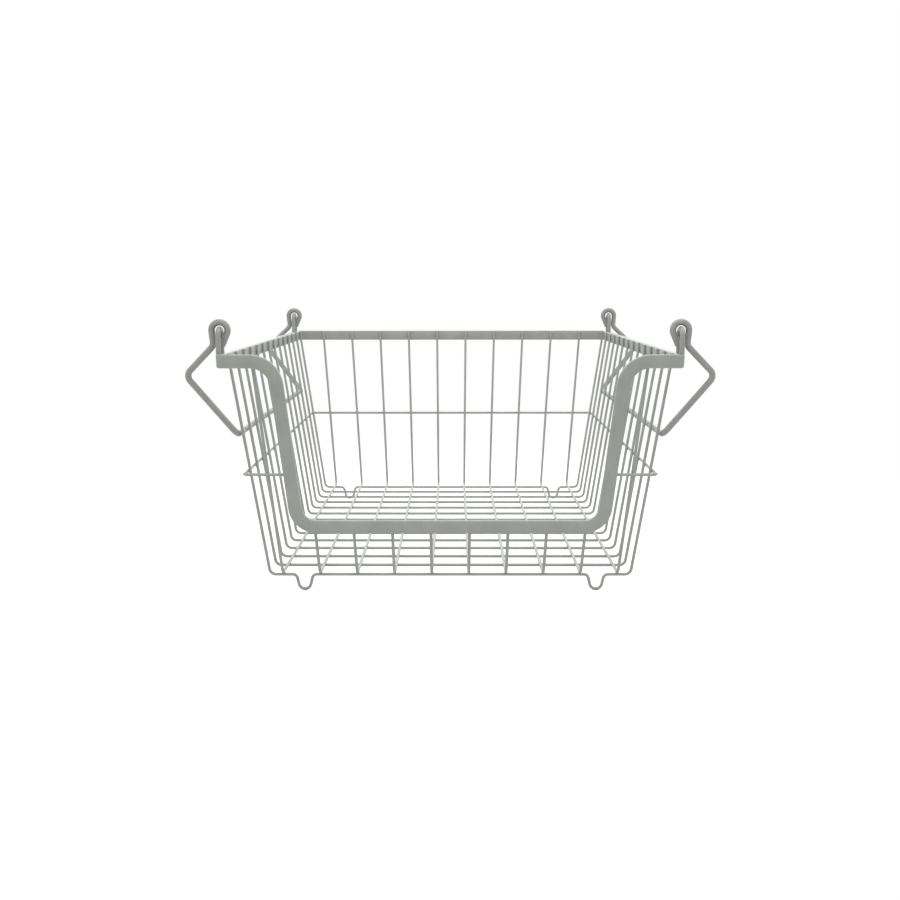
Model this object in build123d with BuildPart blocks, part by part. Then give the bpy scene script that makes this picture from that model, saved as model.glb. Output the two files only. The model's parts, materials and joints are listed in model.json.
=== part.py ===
from build123d import *
from math import acos, atan, atan2, cos, sin
import os

# Stackable wire locker basket with a dipped front and two swinging bale handles.
# Millimetres. +X is to the right, +Y to the rear and +Z up. The origin lies on the
# surface that the feet stand on, midway across the rim and midway along it.

# Rim: a flat bar on edge that runs round the sides and the rear
rim_width = 352.6
rim_depth = 450.0
rim_height = 189.4
bar_height = 10.4
bar_thickness = 3.8
rim_corner_radius = 4.0

# Front frame: the same bar, bent down into a dip, in the plane of the raked front wall
front_rake = 20.2
corner_return = 10.0
opening_inset_top = 48.0
opening_inset_bottom = 61.8
lip_height = 59.5
upper_bend_radius = 25.0
lower_bend_radius = 11.5

# Mesh wires, welded where they cross, so that each bites a little into the next
wire_diameter = 2.4
weld_bite = 0.1
wire_end_inset = 0.8
wire_end_run = 6.2
rim_kink_radius = 15.0

# Cross wires: side, floor, side. They fan out a little from the floor to the rim
cross_wire_count = 14
cross_front_inset = 30.0
cross_rear_inset_floor = 30.0
cross_rear_inset_rim = 9.85
floor_side_inset = 32.9
cross_bend_radius = 5.2

# Foot loops in the first and the last cross wire, inward of the side wires
foot_inset = 27.4
foot_drop = 11.7
foot_top_width = 13.2
foot_bottom_width = 7.8
foot_shoulder_radius = 4.0
foot_tip_radius = 4.6

# Length wires: front, floor, rear, lying on top of the cross wires. They fan out a
# little toward the front
length_wire_count = 10
length_inset_floor = 11.55
length_inset_rim = 29.825
length_inset_floor_front = 10.7
length_inset_rim_front = 25.8
rear_floor_inset = 24.0
length_bend_radius = 5.5

# Hoop round the outside of the wires
hoop_drop = 93.2
hoop_corner_radius = 3.5

# Staples on the side bars, which the handles hinge on
staple_rod_diameter = 4.0
staple_width = 12.5
staple_height = 18.8
staple_bend_radius = 5.0
staple_front_inset = 11.5
staple_rear_inset = 37.0

# Handles: measured outward and downward from the centre of their eyes, which hang on
# the staples
handle_rod_diameter = 4.9
eye_radius = 6.1
eye_clearance = 0.7
eye_tip_inward = 1.6
eye_tip_drop = 11.65
neck_outward = 5.0
neck_drop = 11.55
neck_bend_radius = 6.0
elbow_outward = 28.6
elbow_drop = 34.85
elbow_bend_radius = 6.7
crossbar_drop = 81.55
crossbar_end_inset = 16.0
crossbar_bend_radius = 7.0
crossbar_clearance = 0.3

# Levels and slopes that follow from the sizes
wire_radius = wire_diameter / 2
handle_rod_radius = handle_rod_diameter / 2
crossing_rise = wire_diameter - weld_bite
cross_floor_level = foot_drop + wire_radius
length_floor_level = cross_floor_level + crossing_rise
wall_height = rim_height - cross_floor_level
bar_underside = rim_height - bar_height
wire_end_level = rim_height - wire_end_inset
wire_kink_level = wire_end_level - wire_end_run
hoop_level = rim_height - hoop_drop
front_slope = front_rake / wall_height
front_angle = atan(front_slope)

# Widths and spacings that follow from the rim's size
opening_width_top = rim_width - 2 * opening_inset_top
opening_width_bottom = rim_width - 2 * opening_inset_bottom
dip_depth = rim_height - lip_height
floor_width = rim_width - 2 * floor_side_inset
foot_spacing = floor_width - 2 * foot_inset
cross_pitch_floor = (rim_depth - cross_front_inset - cross_rear_inset_floor) / (cross_wire_count - 1)
cross_pitch_rim = (rim_depth - cross_front_inset - cross_rear_inset_rim) / (cross_wire_count - 1)
length_pitch_floor = (floor_width - 2 * length_inset_floor) / (length_wire_count - 1)
length_pitch_rim = (rim_width - 2 * length_inset_rim) / (length_wire_count - 1)
front_pitch_floor = (floor_width - 2 * length_inset_floor_front) / (length_wire_count - 1)
front_pitch_rim = (rim_width - 2 * length_inset_rim_front) / (length_wire_count - 1)

# Where the side wires and the rear wires run
side_wire_x_rim = rim_width / 2 - bar_thickness - wire_radius + weld_bite
side_slope = (side_wire_x_rim - floor_width / 2) / (wire_kink_level - cross_floor_level)
side_angle = atan(side_slope)
rear_wire_y_rim = rim_depth / 2 - bar_thickness - wire_radius + weld_bite
rear_wire_y_floor = rim_depth / 2 - rear_floor_inset
rear_slope = (rear_wire_y_rim - rear_wire_y_floor) / (wire_kink_level - length_floor_level)
rear_angle = atan(rear_slope)


def front_face_y(level):
    """Front face of the raked front frame at a height."""
    return -rim_depth / 2 + front_slope * (rim_height - level)


def front_wire_y(level):
    """Centre of the front wires, which lie on the frame's inner face."""
    return front_face_y(level) + bar_thickness + (wire_radius - weld_bite) / cos(front_angle)


def side_wire_x(level):
    """Centre of the side wires below their welded ends."""
    return side_wire_x_rim - side_slope * (wire_kink_level - level)


def rear_wire_y(level):
    """Centre of the rear wires below their welded ends."""
    return rear_wire_y_rim - rear_slope * (wire_kink_level - level)


def opening_half_width(level):
    """Half the width between the frame's slanted edges at a height."""
    fall = (rim_height - level) / dip_depth
    return (opening_width_top + (opening_width_bottom - opening_width_top) * fall) / 2


def bent_rod(points, radii, diameter):
    """Round rod along straight runs joined by bends."""
    with BuildPart() as rod:
        with BuildLine() as route:
            FilletPolyline(*points, radius=radii)
        with BuildSketch(Plane(origin=route.line @ 0, z_dir=route.line % 0)):
            Circle(diameter / 2)
        sweep()
    return rod.part


def finish(part, label):
    """Name a piece and write its file."""
    part.label = label
    export_step(part, f"parts/{label}.step")


os.makedirs("parts", exist_ok=True)

# Rim band: a plumb bar round both sides and the rear, cut off parallel to the front frame
with BuildPart() as rim_band:
    with BuildSketch(Plane.XY.offset(bar_underside)):
        RectangleRounded(rim_width, rim_depth, rim_corner_radius)
        offset(amount=-bar_thickness, mode=Mode.SUBTRACT)
    extrude(amount=bar_height)
    with BuildSketch(Plane.YZ):
        with BuildLine():
            Polyline(
                (front_face_y(rim_height) + corner_return, rim_height),
                (front_face_y(bar_underside) + corner_return, bar_underside),
                (-rim_depth, bar_underside),
                (-rim_depth, rim_height),
                close=True,
            )
        make_face()
    extrude(amount=rim_width, both=True, mode=Mode.SUBTRACT)
finish(rim_band.part, "rim_band")

# Front frame: the bent bar of the front wall with its short returns round the corners
with BuildPart() as front_frame:
    with BuildSketch(Plane.XY.offset(rim_height)):
        RectangleRounded(rim_width, rim_depth, rim_corner_radius)
        offset(amount=-bar_thickness, mode=Mode.SUBTRACT)
        with Locations((0, corner_return)):
            Rectangle(rim_width, rim_depth, mode=Mode.SUBTRACT)
    extrude(amount=wall_height, dir=(0, front_slope, -1))
    with BuildSketch(Plane.XZ):
        with BuildLine() as opening_edge:
            FilletPolyline(
                (-rim_width, rim_height),
                (-opening_width_top / 2, rim_height),
                (-opening_width_bottom / 2, rim_height - dip_depth),
                (opening_width_bottom / 2, rim_height - dip_depth),
                (opening_width_top / 2, rim_height),
                (rim_width, rim_height),
                radius=[upper_bend_radius, lower_bend_radius, lower_bend_radius, upper_bend_radius],
            )
            offset(amount=bar_height, side=Side.RIGHT)
        make_face()
    extrude(amount=rim_depth, mode=Mode.INTERSECT)
finish(front_frame.part, "front_frame")

# Cross wires, the first and the last with foot loops
foot_offsets = (
    (-foot_top_width / 2, 0),
    (-foot_bottom_width / 2, foot_drop),
    (foot_bottom_width / 2, foot_drop),
    (foot_top_width / 2, 0),
)
foot_radii = (foot_shoulder_radius, foot_tip_radius, foot_tip_radius, foot_shoulder_radius)
for index in range(cross_wire_count):
    floor_y = -rim_depth / 2 + cross_front_inset + index * cross_pitch_floor
    rim_y = -rim_depth / 2 + cross_front_inset + index * cross_pitch_rim
    lean = (rim_y - floor_y) / wall_height
    outline = [
        (-side_wire_x_rim, wire_end_level),
        (-side_wire_x_rim, wire_kink_level),
        (-floor_width / 2, cross_floor_level),
    ]
    bends = [rim_kink_radius, cross_bend_radius]
    if index in (0, cross_wire_count - 1):
        for foot_x in (-foot_spacing / 2, foot_spacing / 2):
            outline += [(foot_x + across, cross_floor_level - drop) for across, drop in foot_offsets]
            bends += foot_radii
    outline += [(-x, z) for x, z in outline[2::-1]]
    bends += [cross_bend_radius, rim_kink_radius]
    points = [(x, floor_y + lean * (z - cross_floor_level), z) for x, z in outline]
    finish(bent_rod(points, bends, wire_diameter), f"cross_wire_{index + 1:02d}")

# Length wires: the outer pair reaches the rim, the rest end behind the dip of the frame
for index in range(length_wire_count):
    place = index - (length_wire_count - 1) / 2
    front_lean = (front_pitch_rim - front_pitch_floor) / wall_height
    rear_lean = (length_pitch_rim - length_pitch_floor) / wall_height
    outer = index in (0, length_wire_count - 1)
    front_end_level = wire_end_level if outer else wire_end_level - dip_depth
    outline = [
        (front_pitch_floor, front_lean, front_wire_y(front_end_level), front_end_level),
        (front_pitch_floor, front_lean, front_wire_y(length_floor_level), length_floor_level),
        (length_pitch_floor, rear_lean, rear_wire_y_floor, length_floor_level),
        (length_pitch_floor, rear_lean, rear_wire_y_rim, wire_kink_level),
        (length_pitch_floor, rear_lean, rear_wire_y_rim, wire_end_level),
    ]
    bends = [length_bend_radius, length_bend_radius, rim_kink_radius]
    points = [
        (place * (pitch + lean * (z - length_floor_level)), y, z) for pitch, lean, y, z in outline
    ]
    finish(bent_rod(points, bends, wire_diameter), f"length_wire_{index + 1:02d}")

# Side hoop: outside every wire, butted to the slanted edges of the front frame
hoop_end_x = (
    opening_half_width(hoop_level)
    + bar_height / cos(atan((opening_width_top - opening_width_bottom) / 2 / dip_depth))
    - weld_bite
)
hoop_side_x = side_wire_x(hoop_level) + crossing_rise / cos(side_angle)
hoop_front_y = front_wire_y(hoop_level) - crossing_rise / cos(front_angle)
hoop_rear_y = rear_wire_y(hoop_level) + crossing_rise / cos(rear_angle)
hoop_points = [
    (-hoop_end_x, hoop_front_y, hoop_level),
    (-hoop_side_x, hoop_front_y, hoop_level),
    (-hoop_side_x, hoop_rear_y, hoop_level),
    (hoop_side_x, hoop_rear_y, hoop_level),
    (hoop_side_x, hoop_front_y, hoop_level),
    (hoop_end_x, hoop_front_y, hoop_level),
]
finish(bent_rod(hoop_points, [hoop_corner_radius] * 4, wire_diameter), "side_hoop")

# Staples: their top bars carry the handles' eyes
hinge_x = rim_width / 2 - bar_thickness / 2
hinge_level = rim_height + staple_height
hinge_front_y = -rim_depth / 2 + staple_front_inset
hinge_rear_y = rim_depth / 2 - staple_rear_inset
for side, side_name in ((-1, "left"), (1, "right")):
    for hinge_y, end_name in ((hinge_front_y, "front"), (hinge_rear_y, "rear")):
        staple_points = [
            (side * hinge_x, hinge_y - staple_width / 2, rim_height),
            (side * hinge_x, hinge_y - staple_width / 2, hinge_level),
            (side * hinge_x, hinge_y + staple_width / 2, hinge_level),
            (side * hinge_x, hinge_y + staple_width / 2, rim_height),
        ]
        staple = bent_rod(staple_points, [staple_bend_radius] * 2, staple_rod_diameter)
        finish(staple, f"staple_{end_name}_{side_name}")

# Handles: an eye at each end, an elbow that stands out, and a crossbar along the side
eye_play = eye_radius - handle_rod_radius - staple_rod_diameter / 2
eye_level = hinge_level - eye_play + eye_clearance
crossbar_level = eye_level - crossbar_drop
crossbar_x = side_wire_x(crossbar_level) + (
    wire_radius + handle_rod_radius + crossbar_clearance
) / cos(side_angle)
crossbar_outward = crossbar_x - hinge_x
elbow_share = elbow_drop / crossbar_drop


def eye_tangent_angle(outward, drop, turn):
    """Angle on the eye where a straight run to a point leaves it."""
    reach = (outward**2 + drop**2) ** 0.5
    return atan2(-drop, outward) + turn * acos(eye_radius / reach)


def handle_point(side, outward, drop, y):
    """Point of a handle, measured from the centre line of its eyes."""
    return (side * (hinge_x + outward), y, eye_level - drop)


def eye_point(side, angle, y):
    """Point on the ring of an eye."""
    return handle_point(side, eye_radius * cos(angle), -eye_radius * sin(angle), y)


tip_angle = eye_tangent_angle(-eye_tip_inward, eye_tip_drop, -1)
neck_angle = eye_tangent_angle(neck_outward, neck_drop, 1)
leg_places = (
    (neck_outward, neck_drop, 0),
    (elbow_outward, elbow_drop, elbow_share * crossbar_end_inset),
    (crossbar_outward, crossbar_drop, crossbar_end_inset),
)
leg_bends = [neck_bend_radius, elbow_bend_radius, crossbar_bend_radius]
for side, side_name in ((-1, "left"), (1, "right")):
    bail = [eye_point(side, neck_angle, hinge_front_y)]
    for across, drop, inset in leg_places:
        bail.append(handle_point(side, across, drop, hinge_front_y + inset))
    for across, drop, inset in leg_places[::-1]:
        bail.append(handle_point(side, across, drop, hinge_rear_y - inset))
    bail.append(eye_point(side, neck_angle, hinge_rear_y))
    with BuildPart() as handle:
        with BuildLine() as route:
            Line(
                handle_point(side, -eye_tip_inward, eye_tip_drop, hinge_front_y),
                eye_point(side, tip_angle, hinge_front_y),
            )
            ThreePointArc(
                eye_point(side, tip_angle, hinge_front_y),
                handle_point(side, 0, -eye_radius, hinge_front_y),
                eye_point(side, neck_angle, hinge_front_y),
            )
            FilletPolyline(*bail, radius=leg_bends + leg_bends[::-1])
            ThreePointArc(
                eye_point(side, neck_angle, hinge_rear_y),
                handle_point(side, 0, -eye_radius, hinge_rear_y),
                eye_point(side, tip_angle, hinge_rear_y),
            )
            Line(
                eye_point(side, tip_angle, hinge_rear_y),
                handle_point(side, -eye_tip_inward, eye_tip_drop, hinge_rear_y),
            )
        with BuildSketch(Plane(origin=route.line @ 0, z_dir=route.line % 0)):
            Circle(handle_rod_radius)
        sweep()
    finish(handle.part, f"{side_name}_handle")
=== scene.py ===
"""Dress a wire locker basket: coated mesh wires, flat rim bars, staples and swinging handles."""

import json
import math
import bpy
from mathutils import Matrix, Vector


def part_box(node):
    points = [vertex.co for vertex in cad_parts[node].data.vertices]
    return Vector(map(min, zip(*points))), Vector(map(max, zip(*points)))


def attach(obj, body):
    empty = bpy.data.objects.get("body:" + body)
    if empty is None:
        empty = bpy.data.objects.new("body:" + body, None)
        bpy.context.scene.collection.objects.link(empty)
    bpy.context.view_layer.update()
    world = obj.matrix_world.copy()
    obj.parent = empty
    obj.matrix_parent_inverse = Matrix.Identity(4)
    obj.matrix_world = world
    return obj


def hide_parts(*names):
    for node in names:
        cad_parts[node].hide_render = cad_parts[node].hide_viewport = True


bl_info = {
    "name": "Wire Locker Basket",
    "version": (1, 0, 0),
    "blender": (4, 5, 0),
    "location": "3D View > Sidebar > Basket",
    "description": "Builds the coated wires, bars, staples and handles of a wire locker basket",
    "category": "Object",
}

import bmesh
import bpy
from bpy.props import FloatProperty, FloatVectorProperty, IntProperty, PointerProperty
from bpy.types import Operator, Panel, PropertyGroup
from mathutils import Matrix, Vector, noise

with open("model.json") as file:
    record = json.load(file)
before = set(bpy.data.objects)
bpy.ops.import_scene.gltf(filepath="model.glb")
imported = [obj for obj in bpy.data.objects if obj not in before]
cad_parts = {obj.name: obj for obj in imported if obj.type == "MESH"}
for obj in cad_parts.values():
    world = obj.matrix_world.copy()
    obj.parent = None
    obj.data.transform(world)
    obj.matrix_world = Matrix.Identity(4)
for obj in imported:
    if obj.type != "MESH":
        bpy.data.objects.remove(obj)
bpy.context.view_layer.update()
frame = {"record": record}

SIDES = {"left": -1, "right": 1}
MM = 0.001

frame_low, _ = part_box("front_frame")
band_low, band_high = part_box("rim_band")
first_low, first_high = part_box("cross_wire_01")
staple_low, staple_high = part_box("staple_front_left")
rear_staple_low, rear_staple_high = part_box("staple_rear_left")
hoop_low, hoop_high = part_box("side_hoop")
hinges = {joint["name"]: Vector(joint["pos_m"]) for joint in frame["record"]["behaviour"]["joints"]}
staple_y = {
    "front": (staple_low[1] + staple_high[1]) / 2,
    "rear": (rear_staple_low[1] + rear_staple_high[1]) / 2,
}

# Fineness of the meshes: turn of one step round a bend, longest straight step, sides of a section
WIRE_TURN = math.radians(9)
FRAME_TURN = math.radians(4.5)
HANDLE_TURN = math.radians(7)
BAR_STEP = 12 * MM
WIRE_STEP = 14 * MM
STAPLE_STEP = 3 * MM
HANDLE_STEP = 6 * MM
WIRE_SIDES = 16
ROD_SIDES = 24
QUARTER = (0, 30, 60, 90)

# Radii of the rounded ends
BAR_END = 0.15 * MM
WIRE_END = 0.25 * MM
HOOP_END = 0.2 * MM
STAPLE_END = 0.1 * MM
HANDLE_END = 0.35 * MM

# How far a piece may stand off the space of its CAD node
FIT_TOLERANCE = 0.4 * MM

# How far the rake of the front frame reaches into the ends of the rim band
RAKE_REACH = 1.0 * MM

# Wear in patches: its amount, the scale of its noise, and the levels where it starts and is full
TOP_EDGE_PATCHES = (0.72, 40, 0.5, 0.75)
WIRE_PATCHES = (0.3, 90, 0.6, 0.8)
HOOP_PATCHES = (0.4, 60, 0.55, 0.8)
GRIP_PATCHES = (0.45, 50, 0.5, 0.7)
ROD_PATCHES = (0.5, 70, 0.62, 0.8)

# Wear all over a place: the ends, the feet, the beads and the chip, and rub wear with painted contact shade
# under and inside the eyes
END_WEAR = 0.6
FOOT_WEAR = 0.85
STAPLE_WEAR_AND_SHADE = 0.9
EYE_WEAR_AND_SHADE = 0.95
BEAD_WEAR = 0.35
CHIP_WEAR = 1.0

# Reach of the worn places and of the painted contact shade under and inside the eyes, that of the eyes as a
# share of the rod's radius
TOP_EDGE = 0.4 * MM
FOOT_SOLE = 1.2 * MM
STAPLE_RUB_AND_SHADE = 4 * MM
GRIP_REACH = 6 * MM
EYE_RUB_AND_SHADE = 0.4

# Weld beads as shares of the wire's or rod's radius, and how uneven they are
CROSSING_BEAD_WIDTH = 1.05
CROSSING_BEAD_RISE = 0.42
BAR_BEAD_WIDTH = 1.15
BAR_BEAD_RISE = 0.3
BAR_BEAD_HEIGHT = 1.6
STAPLE_BEAD = (0.95, 1.3, 0.3)
STAPLE_BEAD_LEVEL = 0.1 * MM
BEAD_SWELL = 0.12
BEAD_NOISE = 1.7
SEED_STEP = 3.1
FLOOR_ROW_SEED = 31
FRONT_SEED = 17
STAPLE_SEED = 100

# Coating: where its mottling turns from dark to light, and its specks and relief
MOTTLE_STOPS = ((0.3, 0.93), (0.7, 1.06))
SPECK_SHARE = 0.55
WAVE_SHARE = 1.6
BUMP_STRENGTH = 0.35
BUMP_DEPTH = 0.12 * MM

# Sockets that share a name with others, by their order on the mixing nodes
MIX_COLOURS = (6, 7)
MIX_RESULT = 2
MIX_SHADERS = (1, 2)

# Studio: the floor's shades, where it turns plain white, and the sky, dim in front and bright behind
FLOOR_BOUNCE = 0.65
FLOOR_SHADE = 0.6
FLOOR_GLOW = 0.5
FLOOR_NEAR = 0.35
FLOOR_FAR = 0.75
FLOOR_SIZE = 12.0
FLOOR_LEVEL = -0.2 * MM
REARWARD = (0.0, 0.9, 0.43)
SKY_FRONT = 0.39
SKY_REAR = 1.2
SKY_FADE = (-0.9, 0.1)


def size(name, description, default):
    """A length that a user can change."""
    return FloatProperty(name=name, description=description, default=default, unit="LENGTH", precision=5)


def angle(name, description, default):
    """An angle that a user can change."""
    return FloatProperty(name=name, description=description, default=default, subtype="ANGLE")


def number(name, description, default):
    """A plain number that a user can change."""
    return FloatProperty(name=name, description=description, default=default)


def colour(name, description, default):
    """A coating colour that a user can change."""
    return FloatVectorProperty(
        name=name, description=description, default=default, subtype="COLOR", size=3, min=0.0, max=1.0
    )


class BasketRimSizes(PropertyGroup):
    """Sizes of the flat bars."""

    thickness: size("Bar thickness", "Thickness of the flat bar", 3.8 * MM)
    rounding: size("Bar edge rounding", "Radius of the bar's rolled edges", 1.15 * MM)
    corner: size("Rim corner", "Outside radius of the rim's corners", 4.0 * MM)
    blunt: size("Blunted corner", "Radius of the front bar's lower outer corners", 2.4 * MM)
    corner_return: size("Corner return", "Where the front frame's returns end, behind its face", 10.0 * MM)
    rake: size("Front rake", "How far the front face leans in from the rim to the floor wires", 20.2 * MM)
    opening_top: size("Opening at the top", "Width between the slanted bars at the rim", 256.6 * MM)
    opening_bottom: size("Opening at the dip", "Width between the slanted bars at the dip", 229.0 * MM)
    dip: size("Dip depth", "Depth of the dip below the rim", 129.9 * MM)
    upper_bend: size("Upper bend", "Opening-side radius of the upper bends", 25.0 * MM)
    lower_bend: size("Lower bend", "Opening-side radius of the lower bends", 11.5 * MM)


class BasketWireSizes(PropertyGroup):
    """Sizes of the mesh wires."""

    bite: size("Weld bite", "How deep a wire sinks into the next at a weld", 0.1 * MM)
    end_inset: size("Wire end inset", "How far the wire ends stop below an edge", 0.8 * MM)
    end_run: size("Wire end run", "Length of a side or rear wire that lies on the bar", 6.2 * MM)
    kink: size("Kink radius", "Radius of the bend below the rim", 15.0 * MM)
    floor_width: size("Floor width", "Width between the side wires at the floor", 286.8 * MM)
    front_inset: size("First wire", "Distance of the first cross wire from the front", 30.0 * MM)
    floor_pitch: size("Floor pitch", "Spacing of the cross wires at the floor", 30.0 * MM)
    rim_pitch: size("Rim pitch", "Spacing of the cross wires at the rim", 31.55 * MM)
    cross_bend: size("Cross wire bend", "Radius of the cross wires at the floor's edges", 5.2 * MM)
    length_floor_pitch: size("Rear pitch, floor", "Spacing of the rear wires at the floor", 29.3 * MM)
    length_rim_pitch: size("Rear pitch, rim", "Spacing of the rear wires at the rim", 32.55 * MM)
    front_floor_pitch: size("Front pitch, floor", "Spacing of the front wires at the floor", 29.489 * MM)
    front_rim_pitch: size("Front pitch, rim", "Spacing of the front wires at the rim", 33.444 * MM)
    rear_inset: size("Rear floor inset", "Distance of the rear wires from the rear at the floor", 24.0 * MM)
    length_bend: size("Length wire bend", "Radius of the length wires at the floor's edges", 5.5 * MM)
    hoop_bend: size("Hoop bend", "Radius of the hoop's corners", 3.5 * MM)
    foot_spacing: size("Foot spacing", "Distance between the two feet of a wire", 232.0 * MM)
    foot_drop: size("Foot drop", "Depth of a foot loop", 11.7 * MM)
    foot_top: size("Foot top width", "Width of a foot loop at its top", 13.2 * MM)
    foot_tip: size("Foot tip width", "Width of a foot loop at its tip", 7.8 * MM)
    foot_shoulder_bend: size("Foot shoulder bend", "Radius of a foot's shoulders", 4.0 * MM)
    foot_tip_bend: size("Foot tip bend", "Radius of a foot's tip", 4.6 * MM)
    cross_count: IntProperty(name="Cross wires", description="Number of cross wires", default=14, min=2)
    length_count: IntProperty(name="Length wires", description="Number of length wires", default=10, min=2)


class BasketHandleSizes(PropertyGroup):
    """Sizes of the staples and the handles."""

    staple_width: size("Staple width", "Distance between a staple's legs", 12.5 * MM)
    staple_bend: size("Staple bend", "Radius of a staple's shoulders", 5.0 * MM)
    rod: size("Handle rod", "Thickness of the handles' rod", 4.9 * MM)
    eye: size("Eye radius", "Radius of a handle's eyes", 6.1 * MM)
    play: size("Eye clearance", "Gap between an eye and the top of its staple", 0.7 * MM)
    tip_in: size("Eye tip inward", "How far an eye's free end leans inward", 1.6 * MM)
    tip_drop: size("Eye tip drop", "How far an eye's free end hangs below the eye's centre", 11.65 * MM)
    neck_out: size("Neck outward", "Place of the neck outward from the eyes' centres", 5.0 * MM)
    neck_drop: size("Neck drop", "Place of the neck below the eyes' centres", 11.55 * MM)
    neck_bend: size("Neck bend", "Radius of the neck's bend", 6.0 * MM)
    elbow_out: size("Elbow outward", "Place of the elbow outward from the eyes' centres", 28.6 * MM)
    elbow_drop: size("Elbow drop", "Place of the elbow below the eyes' centres", 34.85 * MM)
    elbow_bend: size("Elbow bend", "Radius of the elbow's bend", 6.7 * MM)
    bar_drop: size("Crossbar drop", "Place of the crossbar below the eyes' centres", 81.55 * MM)
    bar_inset: size("Crossbar inset", "How far the crossbar's ends lean in from the eyes", 16.0 * MM)
    bar_bend: size("Crossbar bend", "Radius of the crossbar's end bends", 7.0 * MM)
    clearance: size("Crossbar clearance", "Gap between the crossbar and the side wires", 0.3 * MM)
    chip_in: size("Chip inboard", "Place of the right front eye's chip, inboard of its centre", 3.7 * MM)
    chip_up: size("Chip level", "Place of that chip above the eye's centre", 4.8 * MM)
    chip_reach: size("Chip size", "Radius of the chip in the coating", 0.9 * MM)


class BasketFinish(PropertyGroup):
    """Colours of the coating, of its worn places and of the painted contact shade at the handle eyes."""

    bar: colour("Bar coating", "Coating of the flat bars", (0.328, 0.348, 0.312))
    wire: colour("Wire coating", "Coating of the mesh wires", (0.345, 0.357, 0.332))
    rod: colour("Rod coating", "Coating of the staples and handles", (0.308, 0.314, 0.297))
    # The dark colour of the worn places is also painted as contact shade under and inside the handle eyes
    worn_and_shade: colour("Worn places", "Scuffed coating at the rubbing places", (0.145, 0.140, 0.130))


class BasketStageSizes(PropertyGroup):
    """Camera and lights."""

    camera: FloatVectorProperty(
        name="Camera",
        description="Place of the camera",
        default=(0.00286, -1.06573, 0.2412),
        subtype="XYZ",
        size=3,
    )
    pitch: angle("Pitch", "Downward tilt of the camera", 0.14622)
    yaw: angle("Yaw", "Turn of the camera", 0.00349)
    roll: angle("Roll", "Roll of the camera", -0.00059)
    lens: number("Lens", "Focal length in millimetres", 44.88)
    sky: number("Sky", "Strength of the surrounding light", 1.0)
    rear_light: number("Rear light", "Power of the soft lamp behind the basket", 12.0)
    over_light: number("Overhead light", "Power of the soft lamp over the basket", 4.6)


def wire_radius():
    """Radius of the mesh wire, from the first cross wire, which stands upright."""
    return (first_high[1] - first_low[1]) / 2


def staple_radius():
    """Radius of the staples' rod."""
    return (staple_high[0] - staple_low[0]) / 2


class Shape:
    """Places that several pieces share, worked out from the frame and the chosen sizes."""

    def __init__(self, scene):
        rim, wires = scene.basket_rim, scene.basket_wires
        self.rim, self.wires, self.handles = rim, wires, scene.basket_handles
        self.r = wire_radius()
        self.half_width = band_high[0]
        self.rear = band_high[1]
        self.front = frame_low[1]
        self.top = band_high[2]
        self.underside = band_low[2]
        self.cross_floor = wires.foot_drop + self.r
        self.length_floor = self.cross_floor + (2 * self.r - wires.bite)
        self.slope = rim.rake / (self.top - self.cross_floor)
        self.front_angle = math.atan(self.slope)
        self.lean = math.atan((rim.opening_top - rim.opening_bottom) / 2 / rim.dip)
        self.wire_end = self.top - wires.end_inset
        self.kink_level = self.wire_end - wires.end_run
        self.side_rim = self.half_width - rim.thickness - self.r + wires.bite
        self.side_slope = (self.side_rim - wires.floor_width / 2) / (self.kink_level - self.cross_floor)
        self.rear_rim = self.rear - rim.thickness - self.r + wires.bite
        self.rear_floor = self.rear - wires.rear_inset
        self.rear_slope = (self.rear_rim - self.rear_floor) / (self.kink_level - self.length_floor)

    def front_face(self, z):
        """Front face of the raked frame at a height."""
        return self.front + self.slope * (self.top - z)

    def front_wire(self, z):
        """Centre of the front wires at a height."""
        sink = (self.r - self.wires.bite) / math.cos(self.front_angle)
        return self.front_face(z) + self.rim.thickness + sink

    def side_wire(self, z):
        """Centre of the side wires at a height below their welded ends."""
        return self.side_rim - self.side_slope * (self.kink_level - z)

    def rear_wire(self, z):
        """Centre of the rear wires at a height below their welded ends."""
        return self.rear_rim - self.rear_slope * (self.kink_level - z)

    def cross_y(self, index, z):
        """Place along the basket of a cross wire at a height."""
        floor = self.front + self.wires.front_inset + index * self.wires.floor_pitch
        rim = self.front + self.wires.front_inset + index * self.wires.rim_pitch
        return floor + (rim - floor) * (z - self.cross_floor) / (self.top - self.cross_floor)

    def length_x(self, index, y, z):
        """Place across the basket of a length wire, which fans out toward the front and the rim."""
        wires = self.wires
        rear, front = self.rear_floor, self.front_wire(self.length_floor)
        forward = max(0.0, min(1.0, (rear - y) / (rear - front)))
        floor = wires.length_floor_pitch
        floor += (wires.front_floor_pitch - wires.length_floor_pitch) * forward
        rim = wires.length_rim_pitch
        rim += (wires.front_rim_pitch - wires.length_rim_pitch) * forward
        share = (z - self.length_floor) / (self.top - self.cross_floor)
        return (index - (wires.length_count - 1) / 2) * (floor + (rim - floor) * share)


def bent_path(points, radii, turn_step=WIRE_TURN):
    """Points along straight runs joined by tangent arcs."""
    points = [Vector(p) for p in points]
    path = [points[0]]
    for before, corner, after, radius in zip(points, points[1:], points[2:], radii):
        inward, outward = (before - corner).normalized(), (after - corner).normalized()
        opening = inward.angle(outward)
        turn = math.pi - opening
        setback = radius * math.tan(turn / 2)
        centre = corner + (inward + outward).normalized() * (radius / math.sin(opening / 2))
        start = corner + inward * setback - centre
        axis = start.cross(-inward).normalized()
        path += arc_points(centre, start, axis, turn, turn_step)
    return path + [points[-1]]


def arc_points(centre, arm, axis, turn, turn_step=WIRE_TURN):
    """Points along an arc round an axis through centre, where arm leads from centre to its start."""
    steps = max(2, math.ceil(abs(turn) / turn_step))
    return [centre + Matrix.Rotation(turn * i / steps, 3, axis) @ arm for i in range(steps + 1)]


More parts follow.
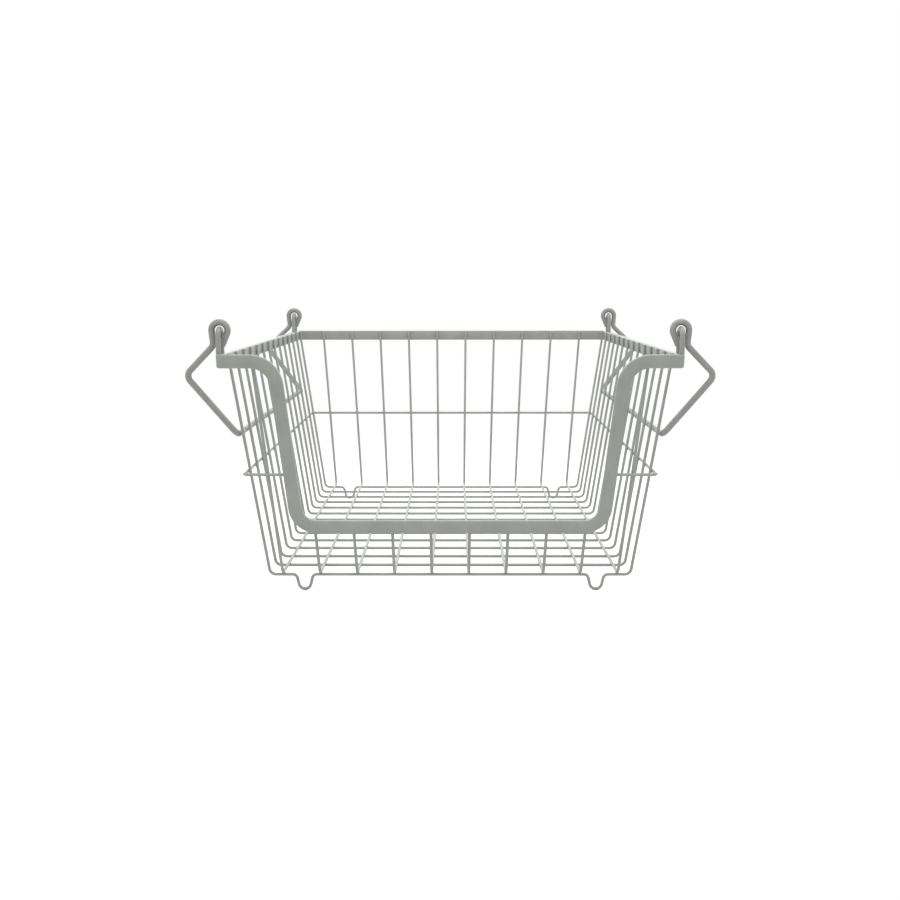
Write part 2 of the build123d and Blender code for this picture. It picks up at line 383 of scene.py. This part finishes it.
def spread(path, longest):
    """The same path with its long runs divided, so that wear and light can vary along them."""
    fine = [path[0]]
    for a, b in zip(path, path[1:]):
        parts = max(1, math.ceil((b - a).length / longest))
        fine += [a.lerp(b, i / parts) for i in range(1, parts + 1)]
    return fine


def tangents(path):
    """Directions along a path."""
    runs = [(b - a).normalized() for a, b in zip(path, path[1:])]
    middle = [(after + before).normalized() for before, after in zip(runs, runs[1:])]
    return [runs[0]] + middle + [runs[-1]]


def swept(name, path, section, up, rounding, shift=None):
    """Piece with a section carried along a path without twist, with rounded ends.

    section holds (across, upward) pairs. shift moves each finished point, as for the raked bars.
    """
    ways = tangents(path)
    reach = max(math.hypot(*point) for point in section)
    rings = []
    frame_up = (Vector(up) - ways[0] * Vector(up).dot(ways[0])).normalized()
    for index, (place, way) in enumerate(zip(path, ways)):
        if index:
            frame_up = ways[index - 1].rotation_difference(way) @ frame_up
            frame_up = (frame_up - way * frame_up.dot(way)).normalized()
        rings.append((place, way, frame_up.copy(), 1.0))

    def rounded(ring, inward):
        """Rings of a rounded end, from the full section to the tip."""
        place, way, ring_up, _ = ring
        made = []
        for turn in map(math.radians, QUARTER):
            scale = 1 - rounding / reach * (1 - math.cos(turn))
            made.append((place + way * rounding * inward * (1 - math.sin(turn)), way, ring_up, scale))
        return made

    rings = rounded(rings[0], 1)[::-1] + rings[1:-1] + rounded(rings[-1], -1)
    mesh = bmesh.new()
    wear_and_shade = mesh.verts.layers.float.new("wear_and_shade")
    loops = []
    for place, way, ring_up, scale in rings:
        side = ring_up.cross(way)
        loop = []
        for across, upward in section:
            point = place + side * across * scale + ring_up * upward * scale
            loop.append(mesh.verts.new(shift(point) if shift else point))
        loops.append(loop)
    count = len(section)
    for one, two in zip(loops, loops[1:]):
        for i in range(count):
            j = (i + 1) % count
            mesh.faces.new((one[i], one[j], two[j], two[i]))
    mesh.faces.new(loops[0][::-1])
    mesh.faces.new(loops[-1])
    for loop in loops[: len(QUARTER)] + loops[-len(QUARTER) :]:
        for vert in loop:
            vert[wear_and_shade] = END_WEAR
    bmesh.ops.recalc_face_normals(mesh, faces=mesh.faces)
    data = bpy.data.meshes.new(name)
    mesh.to_mesh(data)
    mesh.free()
    data.polygons.foreach_set("use_smooth", [len(p.vertices) == 4 for p in data.polygons])
    data.update()
    piece = bpy.data.objects.new(name, data)
    bpy.context.scene.collection.objects.link(piece)
    return piece


def round_section(radius, sides):
    """Section of a wire or rod."""
    turns = [math.tau * i / sides for i in range(sides)]
    return [(radius * math.cos(turn), radius * math.sin(turn)) for turn in turns]


def bar_section(thickness, height, rounding):
    """Section of a flat bar on edge with rolled edges."""
    corners = (
        (thickness / 2, height / 2, 0),
        (-thickness / 2, height / 2, 90),
        (-thickness / 2, -height / 2, 180),
        (thickness / 2, -height / 2, 270),
    )
    section = []
    for x, y, start in corners:
        cx = x - math.copysign(rounding, x)
        cy = y - math.copysign(rounding, y)
        for step in QUARTER:
            turn = math.radians(start + step)
            section.append((cx + rounding * math.cos(turn), cy + rounding * math.sin(turn)))
    return section


def raise_wear_and_shade(piece, amount):
    """Set the wear and painted contact shade of each point from its place, keeping what is there if it is
    more.
    """
    values = piece.data.attributes["wear_and_shade"].data
    for vert, value in zip(piece.data.vertices, values):
        value.value = max(value.value, min(1.0, amount(vert.co)))


def stand_for(piece, node, body, material):
    """Put a piece in place of its CAD node, after checking that it fills the same space."""
    low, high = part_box(node)
    corners = [Vector(c) for c in piece.bound_box]
    for axis in range(3):
        ends = min(c[axis] for c in corners), max(c[axis] for c in corners)
        if max(abs(ends[0] - low[axis]), abs(ends[1] - high[axis])) > FIT_TOLERANCE:
            raise RuntimeError(f"{piece.name} doesn't fill the space of {node} along axis {axis}: {ends}")
    piece.data.materials.append(material)
    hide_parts(node)
    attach(piece, body)


class Nodes:
    """Short way to add and link shader nodes."""

    def __init__(self, tree):
        self.tree = tree
        tree.nodes.clear()

    def add(self, kind, settings=None, ordered=None, **named):
        """Add a node, set it up, and link or fill its inputs, given by their order or their name."""
        node = self.tree.nodes.new(kind)
        for key, value in (settings or {}).items():
            setattr(node, key, value)
        inputs = dict(ordered or {})
        inputs.update({key.replace("_", " "): value for key, value in named.items()})
        for key, value in inputs.items():
            if isinstance(value, bpy.types.NodeSocket):
                self.tree.links.new(value, node.inputs[key])
            else:
                node.inputs[key].default_value = value
        return node

    def arithmetic(self, operation, *values):
        """Number worked out from the values."""
        node = self.add("ShaderNodeMath", {"operation": operation}, dict(enumerate(values)))
        return node.outputs["Value"]

    def between(self, factor, first, second):
        """Colour between two colours."""
        inputs = dict(zip(MIX_COLOURS, (first, second)))
        mix = self.add("ShaderNodeMix", {"data_type": "RGBA"}, inputs, Factor=factor)
        return mix.outputs[MIX_RESULT]

    def blend(self, factor, first, second):
        """Surface or sky mixed from two."""
        inputs = dict(zip(MIX_SHADERS, (first, second)))
        return self.add("ShaderNodeMixShader", None, inputs, Fac=factor).outputs["Shader"]

    def finish(self, kind, surface):
        """Give the tree its output."""
        self.add(kind, Surface=surface)


def shaded(tint, share):
    """A tint made darker or lighter, as a node takes it."""
    return [min(1.0, c * share) for c in tint] + [1.0]


def coating(name, tint, worn_and_shade, grain=1.0, sheen=0.34):
    """Matt coating with faint mottling, dark specks, orange peel, scuffs at the rubbing places and painted
    contact shade under and inside the handle eyes.
    """
    material = bpy.data.materials.get(name)
    if material:
        return material
    material = bpy.data.materials.new(name)
    material.use_nodes = True
    nodes = Nodes(material.node_tree)
    place = nodes.add("ShaderNodeTexCoord").outputs["Object"]
    mottle = nodes.add("ShaderNodeTexNoise", Vector=place, Scale=55.0, Detail=3.0, Roughness=0.55)
    ramp = nodes.add("ShaderNodeValToRGB", Fac=mottle.outputs["Fac"])
    for stop, (position, share) in zip(ramp.color_ramp.elements, MOTTLE_STOPS):
        stop.position = position
        stop.color = shaded(tint, share)
    speck = nodes.add("ShaderNodeTexNoise", Vector=place, Scale=900.0, Detail=2.0).outputs["Fac"]
    specks = nodes.add("ShaderNodeMapRange", Value=speck, From_Min=0.62, From_Max=0.74, To_Max=0.18)
    speckled = nodes.between(specks.outputs["Result"], ramp.outputs["Color"], shaded(tint, SPECK_SHARE))
    # The wear attribute carries real wear and, at the handle eyes and staple tops, painted contact shade
    wear_and_shade = nodes.add("ShaderNodeAttribute", {"attribute_name": "wear_and_shade"})
    patch = nodes.add("ShaderNodeTexNoise", Vector=place, Scale=420.0, Detail=5.0, Roughness=0.7)
    reach = nodes.arithmetic("MULTIPLY", wear_and_shade.outputs["Fac"], patch.outputs["Fac"])
    rubbed_and_shaded = nodes.add("ShaderNodeMapRange", Value=reach, From_Min=0.36, From_Max=0.5)
    scuffed_and_shaded = nodes.between(rubbed_and_shaded.outputs["Result"], speckled, shaded(worn_and_shade, 1.0))
    gloss = nodes.add("ShaderNodeMapRange", Value=mottle.outputs["Fac"], To_Min=0.36, To_Max=0.26)
    peel = nodes.add("ShaderNodeTexNoise", Vector=place, Scale=1400.0, Detail=2.0, Roughness=0.6)
    waves = nodes.add("ShaderNodeTexNoise", Vector=place, Scale=260.0, Detail=2.0)
    relief = nodes.arithmetic("MULTIPLY_ADD", waves.outputs["Fac"], WAVE_SHARE, peel.outputs["Fac"])
    strength = BUMP_STRENGTH * grain
    bump = nodes.add("ShaderNodeBump", Height=relief, Strength=strength, Distance=BUMP_DEPTH)
    shader = nodes.add(
        "ShaderNodeBsdfPrincipled",
        Base_Color=scuffed_and_shaded,
        Roughness=gloss.outputs["Result"],
        Specular_IOR_Level=sheen,
        Normal=bump.outputs["Normal"],
    )
    nodes.finish("ShaderNodeOutputMaterial", shader.outputs["BSDF"])
    return material


def bar_coating(scene):
    """Coating of the flat bars."""
    return coating("bar_coating", scene.basket_finish.bar, scene.basket_finish.worn_and_shade)


def wire_coating(scene):
    """Finer and duller coating of the mesh wires."""
    finish = scene.basket_finish
    return coating("wire_coating", finish.wire, finish.worn_and_shade, grain=0.7, sheen=0.2)


def rod_coating(scene):
    """Coating of the staples and the handles."""
    return coating("rod_coating", scene.basket_finish.rod, scene.basket_finish.worn_and_shade)


def patchy(place, patches):
    """Wear at a place, in patches that noise gives."""
    most, scale, low, high = patches
    value = 0.5 + 0.5 * noise.noise(place * scale)
    return most * max(0.0, min(1.0, (value - low) / (high - low)))


class BASKET_OT_rim_band(Operator):
    """Bend the plumb flat bar round the sides and the rear"""

    bl_idname = "basket.rim_band"
    bl_label = "Rim band"

    def execute(self, context):
        shape = Shape(context.scene)
        half = shape.rim.thickness / 2
        x, y = shape.half_width - half, shape.rear - half
        level = (shape.top + shape.underside) / 2
        start = shape.front + shape.rim.corner_return
        bend = shape.rim.corner - half
        points = [(-x, start, level), (-x, y, level), (x, y, level), (x, start, level)]
        path = spread(bent_path(points, [bend, bend]), BAR_STEP)
        section = bar_section(shape.rim.thickness, shape.top - shape.underside, shape.rim.rounding)

        def raked(point):
            """Lean the band's ends to meet the raked front frame."""
            if point.y > start + RAKE_REACH:
                return point
            return point + Vector((0, shape.slope * (shape.top - point.z), 0))

        piece = swept("rim_band_bar", path, section, (0, 0, 1), BAR_END, raked)
        raise_wear_and_shade(piece, lambda p: (p.z > shape.top - TOP_EDGE) * patchy(p, TOP_EDGE_PATCHES))
        stand_for(piece, "rim_band", "basket", bar_coating(context.scene))
        return {"FINISHED"}


class BASKET_OT_front_frame(Operator):
    """Bend the flat bar of the front down into its dip, in the raked plane of the front wall"""

    bl_idname = "basket.front_frame"
    bl_label = "Front frame"

    def execute(self, context):
        shape = Shape(context.scene)
        rim = shape.rim
        half = rim.thickness / 2
        height = shape.top - shape.underside
        x, y = shape.half_width - half, shape.front + half
        aside = height / 2 * math.tan((math.pi / 2 - shape.lean) / 2)
        level, dip_level = shape.top - height / 2, shape.top - rim.dip - height / 2
        top_x, low_x = rim.opening_top / 2 + aside, rim.opening_bottom / 2 + aside
        start = shape.front + rim.corner_return
        points = [(-x, start, level), (-x, y, level), (-top_x, y, level), (-low_x, y, dip_level)]
        points += [(-px, py, pz) for px, py, pz in points[::-1]]
        bends = [rim.corner - half, rim.upper_bend - height / 2, rim.lower_bend + height / 2]
        path = spread(bent_path(points, bends + bends[::-1], FRAME_TURN), BAR_STEP)
        section = bar_section(rim.thickness, height, rim.rounding)

        def raked(point):
            """Blunt the lower outer corners, then lean the frame back."""
            core = Vector((shape.half_width - rim.blunt, 0, shape.underside + rim.blunt))
            off = Vector((abs(point.x) - core.x, 0, point.z - core.z))
            if off.x > 0 > off.z and off.length > rim.blunt:
                spot = core + off.normalized() * rim.blunt
                point = Vector((math.copysign(spot.x, point.x), point.y, spot.z))
            return point + Vector((0, shape.slope * (shape.top - point.z), 0))

        piece = swept("front_frame_bar", path, section, (0, 0, 1), BAR_END, raked)
        raise_wear_and_shade(piece, lambda p: (p.z > shape.top - TOP_EDGE) * patchy(p, TOP_EDGE_PATCHES))
        stand_for(piece, "front_frame", "basket", bar_coating(context.scene))
        return {"FINISHED"}


class BASKET_OT_cross_wires(Operator):
    """Bend the wires that run down one side, across the floor and up the other side"""

    bl_idname = "basket.cross_wires"
    bl_label = "Cross wires"

    def execute(self, context):
        shape = Shape(context.scene)
        wires = shape.wires
        section = round_section(shape.r, WIRE_SIDES)
        foot = (
            (-wires.foot_top / 2, 0),
            (-wires.foot_tip / 2, wires.foot_drop),
            (wires.foot_tip / 2, wires.foot_drop),
            (wires.foot_top / 2, 0),
        )
        foot_bends = [wires.foot_shoulder_bend, wires.foot_tip_bend]
        foot_bends += foot_bends[::-1]
        for index in range(wires.cross_count):
            side = [
                (-shape.side_rim, shape.wire_end),
                (-shape.side_rim, shape.kink_level),
                (-wires.floor_width / 2, shape.cross_floor),
            ]
            outline = side[:]
            bends = [wires.kink, wires.cross_bend]
            if index in (0, wires.cross_count - 1):
                for foot_x in (-wires.foot_spacing / 2, wires.foot_spacing / 2):
                    outline += [(foot_x + across, shape.cross_floor - drop) for across, drop in foot]
                    bends += foot_bends
            outline += [(-x, z) for x, z in side[::-1]]
            bends += [wires.cross_bend, wires.kink]
            points = [(x, shape.cross_y(index, z), z) for x, z in outline]
            path = spread(bent_path(points, bends), WIRE_STEP)
            piece = swept(f"cross_wire_{index + 1:02d}_tube", path, section, (0, 1, 0), WIRE_END)
            raise_wear_and_shade(piece, lambda p: FOOT_WEAR * (p.z < FOOT_SOLE) + patchy(p, WIRE_PATCHES))
            node = f"cross_wire_{index + 1:02d}"
            stand_for(piece, node, "basket", wire_coating(context.scene))
        return {"FINISHED"}


class BASKET_OT_length_wires(Operator):
    """Bend the wires that run down the front, along the floor and up the rear"""

    bl_idname = "basket.length_wires"
    bl_label = "Length wires"

    def execute(self, context):
        shape = Shape(context.scene)
        wires = shape.wires
        section = round_section(shape.r, WIRE_SIDES)
        for index in range(wires.length_count):
            outer = index in (0, wires.length_count - 1)
            front_end = shape.wire_end - (0 if outer else shape.rim.dip)
            outline = [
                (shape.front_wire(front_end), front_end),
                (shape.front_wire(shape.length_floor), shape.length_floor),
                (shape.rear_floor, shape.length_floor),
                (shape.rear_rim, shape.kink_level),
                (shape.rear_rim, shape.wire_end),
            ]
            points = [(shape.length_x(index, y, z), y, z) for y, z in outline]
            path = spread(bent_path(points, [wires.length_bend, wires.length_bend, wires.kink]), WIRE_STEP)
            piece = swept(f"length_wire_{index + 1:02d}_tube", path, section, (1, 0, 0), WIRE_END)
            raise_wear_and_shade(piece, lambda p: patchy(p, WIRE_PATCHES))
            node = f"length_wire_{index + 1:02d}"
            stand_for(piece, node, "basket", wire_coating(context.scene))
        return {"FINISHED"}


class BASKET_OT_side_hoop(Operator):
    """Bend the hoop that holds the sides and the rear from outside"""

    bl_idname = "basket.side_hoop"
    bl_label = "Side hoop"

    def execute(self, context):
        shape = Shape(context.scene)
        level = (hoop_low[2] + hoop_high[2]) / 2
        fall = (shape.top - level) / shape.rim.dip
        width = shape.rim.opening_top + (shape.rim.opening_bottom - shape.rim.opening_top) * fall
        end_x = width / 2 + (shape.top - shape.underside) / math.cos(shape.lean) - shape.wires.bite
        side_x, rear_y = hoop_high[0] - shape.r, hoop_high[1] - shape.r
        front_y = hoop_low[1] + shape.r
        points = [(-end_x, front_y, level), (-side_x, front_y, level), (-side_x, rear_y, level)]
        points += [(-x, y, z) for x, y, z in points[::-1]]
        path = spread(bent_path(points, [shape.wires.hoop_bend] * 4), WIRE_STEP)
        piece = swept("side_hoop_tube", path, round_section(shape.r, WIRE_SIDES), (0, 0, 1), HOOP_END)
        raise_wear_and_shade(piece, lambda p: patchy(p, HOOP_PATCHES))
        stand_for(piece, "side_hoop", "basket", wire_coating(context.scene))
        return {"FINISHED"}


class BASKET_OT_staples(Operator):
    """Bend the four rod staples that carry the handles"""

    bl_idname = "basket.staples"
    bl_label = "Staples"

    def execute(self, context):
        shape = Shape(context.scene)
        half = shape.handles.staple_width / 2
        section = round_section(staple_radius(), ROD_SIDES)
        for side in SIDES:
            hinge = hinges[f"{side}_handle_swing"]
            for end, y in staple_y.items():
                points = [
                    (hinge.x, y - half, shape.top),
                    (hinge.x, y - half, hinge.z),
                    (hinge.x, y + half, hinge.z),
                    (hinge.x, y + half, shape.top),
                ]
                path = spread(bent_path(points, [shape.handles.staple_bend] * 2), STAPLE_STEP)
                piece = swept(f"staple_{end}_{side}_rod", path, section, (1, 0, 0), STAPLE_END)
                # The staple's top under the eye: rub wear and painted contact shade
                raise_wear_and_shade(piece, lambda p: STAPLE_WEAR_AND_SHADE * (p.z > hinge.z) * (abs(p.y - y) < STAPLE_RUB_AND_SHADE))
                node = f"staple_{end}_{side}"
                stand_for(piece, node, "basket", rod_coating(context.scene))
        return {"FINISHED"}


class BASKET_OT_handles(Operator):
    """Bend the two bale handles with their eyes, elbows and crossbars"""

    bl_idname = "basket.handles"
    bl_label = "Handles"

    def execute(self, context):
        shape = Shape(context.scene)
        sizes = shape.handles
        rod = sizes.rod / 2
        hang = sizes.eye - rod - staple_radius() - sizes.play
        eyes = tuple(staple_y.values())
        for side, sign in SIDES.items():
            hinge = hinges[f"{side}_handle_swing"]
            bar_level = hinge.z - hang - sizes.bar_drop
            gap = (shape.r + rod + sizes.clearance) / math.cos(math.atan(shape.side_slope))
            bar_out = shape.side_wire(bar_level) + gap - abs(hinge.x)

            def at(out, drop, y):
                """Place outward of the eyes' centres and below them."""
                return Vector((hinge.x + sign * out, y, hinge.z - hang - drop))

            def tangent_angle(out, drop, turn):
                """Angle on an eye's ring where the straight run to a place leaves it."""
                return math.atan2(-drop, out) + turn * math.acos(sizes.eye / math.hypot(out, drop))

            tip = tangent_angle(-sizes.tip_in, sizes.tip_drop, -1)
            neck = tangent_angle(sizes.neck_out, sizes.neck_drop, 1)

            def ring(y):
                """Points over the top of an eye, from its tip's side to its neck."""
                turn = (tip - neck) % math.tau
                centre = at(0, 0, y)
                arm = at(sizes.eye * math.cos(tip), -sizes.eye * math.sin(tip), y) - centre
                return arc_points(centre, arm, Vector((0, 1, 0)), sign * turn)

            inset = sizes.bar_inset
            leg = [
                (sizes.neck_out, sizes.neck_drop, 0),
                (sizes.elbow_out, sizes.elbow_drop, inset * sizes.elbow_drop / sizes.bar_drop),
                (bar_out, sizes.bar_drop, inset),
            ]
            front, rear = ring(eyes[0]), ring(eyes[1])
            points = [front[-1]] + [at(out, drop, eyes[0] + lean) for out, drop, lean in leg]
            points += [at(out, drop, eyes[1] - lean) for out, drop, lean in leg[::-1]] + [rear[-1]]
            bends = [sizes.neck_bend, sizes.elbow_bend, sizes.bar_bend]
            bail = bent_path(points, bends + bends[::-1], HANDLE_TURN)
            tips = [at(-sizes.tip_in, sizes.tip_drop, y) for y in eyes]
            path = spread([tips[0]] + front[:-1] + bail + rear[-2::-1] + [tips[1]], HANDLE_STEP)
            section = round_section(rod, ROD_SIDES)
            piece = swept(f"{side}_handle_rod", path, section, (0, 1, 0), HANDLE_END)
            chip = at(-sizes.chip_in, -sizes.chip_up, eyes[0] - rod)

            def rubbed_and_shaded(p):
                """Wear of the chip, the crossbar and odd patches, and rub wear with painted contact shade
                inside the eyes.
                """
                if side == "right" and (p - chip).length < sizes.chip_reach:
                    return CHIP_WEAR
                near = min((p - at(0, 0, y)).length for y in eyes)
                # Inside the eyes: rub wear and painted contact shade
                eye = EYE_WEAR_AND_SHADE * (near < sizes.eye - rod * EYE_RUB_AND_SHADE)
                grip = (p.z < bar_level + GRIP_REACH) * patchy(p, GRIP_PATCHES)
                return max(eye, grip, patchy(p, ROD_PATCHES))

            raise_wear_and_shade(piece, rubbed_and_shaded)
            body = f"{side}_handle_body"
            stand_for(piece, f"{side}_handle", body, rod_coating(context.scene))
        return {"FINISHED"}


def bead(mesh, place, radii, seed):
    """Add one uneven weld bead to a bmesh."""
    made = bmesh.ops.create_icosphere(mesh, subdivisions=2, radius=1.0)
    offset = Vector((seed * SEED_STEP, seed, 0))
    for vert in made["verts"]:
        swell = 1.0 + BEAD_SWELL * noise.noise(vert.co * BEAD_NOISE + offset)
        vert.co = Vector([c * r for c, r in zip(vert.co, radii)]) * swell + place


def finish_beads(name, spots, material):
    """Make one smooth piece that rides on the basket of weld beads, each given by place, radii and seed."""
    mesh = bmesh.new()
    for place, radii, seed in spots:
        bead(mesh, Vector(place), radii, seed)
    wear_and_shade = mesh.verts.layers.float.new("wear_and_shade")
    for vert in mesh.verts:
        vert[wear_and_shade] = BEAD_WEAR
    data = bpy.data.meshes.new(name)
    mesh.to_mesh(data)
    mesh.free()
    data.polygons.foreach_set("use_smooth", [True] * len(data.polygons))
    piece = bpy.data.objects.new(name, data)
    bpy.context.scene.collection.objects.link(piece)
    piece.data.materials.append(material)
    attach(piece, "basket")


class BASKET_OT_welds(Operator):
    """Add the small weld beads where wires cross and where they meet the bars"""

    bl_idname = "basket.welds"
    bl_label = "Weld beads"

    def execute(self, context):
        shape = Shape(context.scene)
        wires = shape.wires
        crosses, lengths = range(wires.cross_count), range(wires.length_count)
        width, rise = shape.r * CROSSING_BEAD_WIDTH, shape.r * CROSSING_BEAD_RISE

        floor = []
        between = (shape.cross_floor + shape.length_floor) / 2
        for i in crosses:
            y = shape.cross_y(i, between)
            for j in lengths:
                spot = (shape.length_x(j, y, between), y, between)
                floor.append((spot, (width, width, rise), i * FLOOR_ROW_SEED + j))

        hoop = []
        level = (hoop_low[2] + hoop_high[2]) / 2
        x = (shape.side_wire(level) + hoop_high[0] - shape.r) / 2
        y = (shape.rear_wire(level) + hoop_high[1] - shape.r) / 2
        for i in crosses:
            for sign in SIDES.values():
                hoop.append(((sign * x, shape.cross_y(i, level), level), (rise, width, width), i))
        for j in lengths:
            hoop.append(((shape.length_x(j, y, level), y, level), (width, rise, width), j))

        rim = []
        middle = (shape.wire_end + shape.kink_level) / 2
        width, rise = shape.r * BAR_BEAD_WIDTH, shape.r * BAR_BEAD_RISE
        height = shape.r * BAR_BEAD_HEIGHT
        for i in crosses:
            for sign in SIDES.values():
                x = sign * (shape.half_width - shape.rim.thickness)
                rim.append(((x, shape.cross_y(i, middle), middle), (rise, width, height), i))
        for j in lengths:
            outer = j in (0, wires.length_count - 1)
            end = middle - (0 if outer else shape.rim.dip)
            front = shape.front_face(end) + shape.rim.thickness
            rear = shape.rear - shape.rim.thickness
            rim.append(((shape.length_x(j, front, end), front, end), (width, rise, height), j + FRONT_SEED))
            rim.append(((shape.length_x(j, rear, middle), rear, middle), (width, rise, height), j))

        feet = []
        half = shape.handles.staple_width / 2
        radii = [staple_radius() * share for share in STAPLE_BEAD]
        for side in SIDES:
            x = hinges[f"{side}_handle_swing"].x
            for middle_y in staple_y.values():
                for y in (middle_y - half, middle_y + half):
                    feet.append(((x, y, shape.top + STAPLE_BEAD_LEVEL), radii, y * STAPLE_SEED))

        wire, rod = wire_coating(context.scene), rod_coating(context.scene)
        finish_beads("floor_weld_beads", floor, wire)
        finish_beads("hoop_weld_beads", hoop, wire)
        finish_beads("rim_weld_beads", rim, wire)
        finish_beads("staple_weld_beads", feet, rod)
        return {"FINISHED"}


def seen_rays(nodes):
    """One for rays that show the studio, straight or in a gloss, and zero for rays that light things."""
    rays = nodes.add("ShaderNodeLightPath").outputs
    shown = nodes.arithmetic("MAXIMUM", rays["Is Camera Ray"], rays["Is Glossy Ray"])
    return nodes.arithmetic("MAXIMUM", shown, rays["Is Transmission Ray"])


def grey(level):
    """A grey as a node takes it."""
    return (level, level, level, 1.0)


def floor_surface():
    """White studio floor that keeps the basket's shadow near it and is plain white further out."""
    material = bpy.data.materials.new("studio_floor")
    material.use_nodes = True
    nodes = Nodes(material.node_tree)
    plain = nodes.add("ShaderNodeBsdfDiffuse", Color=grey(FLOOR_BOUNCE)).outputs["BSDF"]
    lit = nodes.add("ShaderNodeBsdfDiffuse", Color=grey(FLOOR_SHADE)).outputs["BSDF"]
    glow = nodes.add("ShaderNodeEmission", Strength=FLOOR_GLOW).outputs["Emission"]
    near = nodes.add("ShaderNodeAddShader", None, {0: lit, 1: glow}).outputs["Shader"]
    far = nodes.add("ShaderNodeEmission", Strength=1.0).outputs["Emission"]
    place = nodes.add("ShaderNodeTexCoord").outputs["Object"]
    away = nodes.add("ShaderNodeVectorMath", {"operation": "LENGTH"}, {0: place}).outputs["Value"]
    smooth = {"interpolation_type": "SMOOTHSTEP"}
    reach = nodes.add("ShaderNodeMapRange", smooth, Value=away, From_Min=FLOOR_NEAR, From_Max=FLOOR_FAR)
    shown = nodes.blend(reach.outputs["Result"], near, far)
    nodes.finish("ShaderNodeOutputMaterial", nodes.blend(seen_rays(nodes), plain, shown))
    return material


def studio_sky(strength):
    """World that lights the basket softly from behind and shows as plain white."""
    world = bpy.data.worlds.new("studio_sky")
    world.use_nodes = True
    nodes = Nodes(world.node_tree)
    way = nodes.add("ShaderNodeTexCoord").outputs["Generated"]
    rearward = nodes.add("ShaderNodeVectorMath", {"operation": "DOT_PRODUCT"}, {0: way, 1: REARWARD})
    depth = nodes.add(
        "ShaderNodeMapRange",
        Value=rearward.outputs["Value"],
        From_Min=SKY_FADE[0],
        From_Max=SKY_FADE[1],
        To_Min=strength * SKY_FRONT,
        To_Max=strength * SKY_REAR,
    )
    sky = nodes.add("ShaderNodeBackground", Color=grey(1.0), Strength=depth.outputs["Result"])
    white = nodes.add("ShaderNodeBackground", Color=grey(1.0), Strength=1.0)
    shown = nodes.blend(seen_rays(nodes), sky.outputs["Background"], white.outputs["Background"])
    nodes.finish("ShaderNodeOutputWorld", shown)
    return world


class BASKET_OT_stage(Operator):
    """Set up the white floor, the soft lights and the camera"""

    bl_idname = "basket.stage"
    bl_label = "Stage"

    def execute(self, context):
        scene = context.scene
        stage = scene.basket_stage
        mesh = bmesh.new()
        bmesh.ops.create_grid(mesh, x_segments=2, y_segments=2, size=FLOOR_SIZE)
        data = bpy.data.meshes.new("floor")
        mesh.to_mesh(data)
        mesh.free()
        floor = bpy.data.objects.new("floor", data)
        floor.location.z = FLOOR_LEVEL
        floor.data.materials.append(floor_surface())
        scene.collection.objects.link(floor)
        scene.world = studio_sky(stage.sky)

        # Name, place, the point that it faces, width and power
        lamps = (
            ("rear_lamp", (0.0, 1.9, 1.1), (0.0, 0.0, 0.1), 2.2, stage.rear_light),
            ("over_lamp", (0.0, -0.25, 1.1), (0.0, 0.2, 0.12), 0.9, stage.over_light),
        )
        for name, place, target, width, power in lamps:
            light = bpy.data.lights.new(name, "AREA")
            light.shape = "SQUARE"
            light.size = width
            light.energy = power
            lamp = bpy.data.objects.new(name, light)
            lamp.location = place
            way = Vector(target) - Vector(place)
            lamp.rotation_euler = way.to_track_quat("-Z", "Y").to_euler()
            scene.collection.objects.link(lamp)

        lens = bpy.data.cameras.new("product_camera")
        lens.lens = stage.lens
        lens.sensor_width = 36.0
        lens.clip_start = 0.01
        camera = bpy.data.objects.new("product_camera", lens)
        turn = Matrix.Rotation(stage.yaw, 4, "Z") @ Matrix.Rotation(math.pi / 2 - stage.pitch, 4, "X")
        camera.matrix_world = Matrix.Translation(stage.camera) @ turn @ Matrix.Rotation(stage.roll, 4, "Z")
        scene.collection.objects.link(camera)
        scene.camera = camera
        scene.view_settings.view_transform = "Standard"
        return {"FINISHED"}


class BASKET_PT_panel(Panel):
    """Lists the steps that build the basket"""

    bl_idname = "BASKET_PT_panel"
    bl_label = "Wire locker basket"
    bl_space_type = "VIEW_3D"
    bl_region_type = "UI"
    bl_category = "Basket"

    def draw(self, context):
        for step in STEPS:
            self.layout.operator(step.bl_idname, text=step.bl_label)
        for group in GROUPS:
            box = self.layout.box()
            for name in GROUPS[group].__annotations__:
                box.prop(getattr(context.scene, group), name)


STEPS = (
    BASKET_OT_rim_band,
    BASKET_OT_front_frame,
    BASKET_OT_cross_wires,
    BASKET_OT_length_wires,
    BASKET_OT_side_hoop,
    BASKET_OT_staples,
    BASKET_OT_handles,
    BASKET_OT_welds,
    BASKET_OT_stage,
)
GROUPS = {
    "basket_rim": BasketRimSizes,
    "basket_wires": BasketWireSizes,
    "basket_handles": BasketHandleSizes,
    "basket_finish": BasketFinish,
    "basket_stage": BasketStageSizes,
}
CLASSES = tuple(GROUPS.values()) + STEPS + (BASKET_PT_panel,)


def register():
    """Add the steps, the panel and the sizes to the program."""
    for entry in CLASSES:
        bpy.utils.register_class(entry)
    for name, group in GROUPS.items():
        setattr(bpy.types.Scene, name, PointerProperty(type=group))


def unregister():
    """Take them out again."""
    for name in GROUPS:
        delattr(bpy.types.Scene, name)
    for entry in reversed(CLASSES):
        bpy.utils.unregister_class(entry)


def main():
    """Build every piece in order."""
    register()
    for step in STEPS:
        group, name = step.bl_idname.split(".")
        getattr(getattr(bpy.ops, group), name)()


if __name__ == "__main__":
    main()
